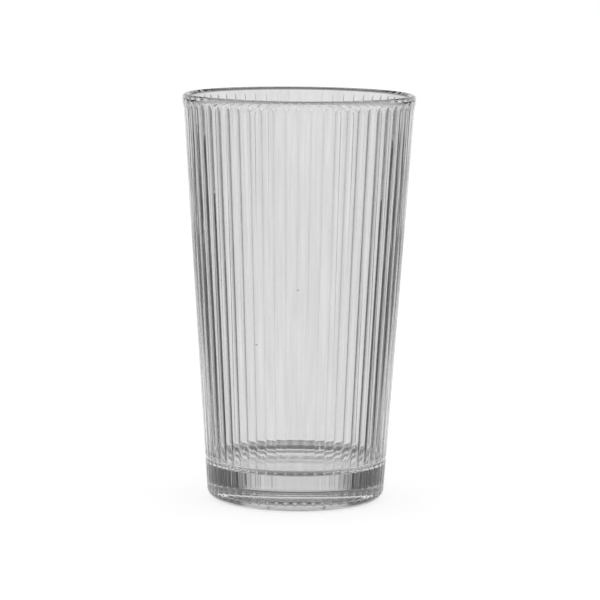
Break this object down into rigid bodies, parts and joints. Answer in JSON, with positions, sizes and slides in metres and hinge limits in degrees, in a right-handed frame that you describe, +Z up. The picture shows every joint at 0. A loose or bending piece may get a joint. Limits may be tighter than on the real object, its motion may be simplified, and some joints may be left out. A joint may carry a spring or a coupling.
{
  "type": "tall drinking glass",
  "caption": "Tall tapered tumbler of clear pressed glass with fine upright ribs, a smooth rounded lip and a thick solid base that stands flat.",
  "frame": {"origin": "centre of the underside, on the plane that the glass stands on", "axes": "+Z up along the axis of the glass, towards its mouth; a rib points along +X"},
  "size_m": [0.0802, 0.0802, 0.14],
  "materials": {
    "pressed_glass": "clear, fire polished"
  },
  "bodies": {
    "root": {"rim": "pressed_glass", "ribbed_wall": "pressed_glass", "base": "pressed_glass"}
  },
  "joints": []
}
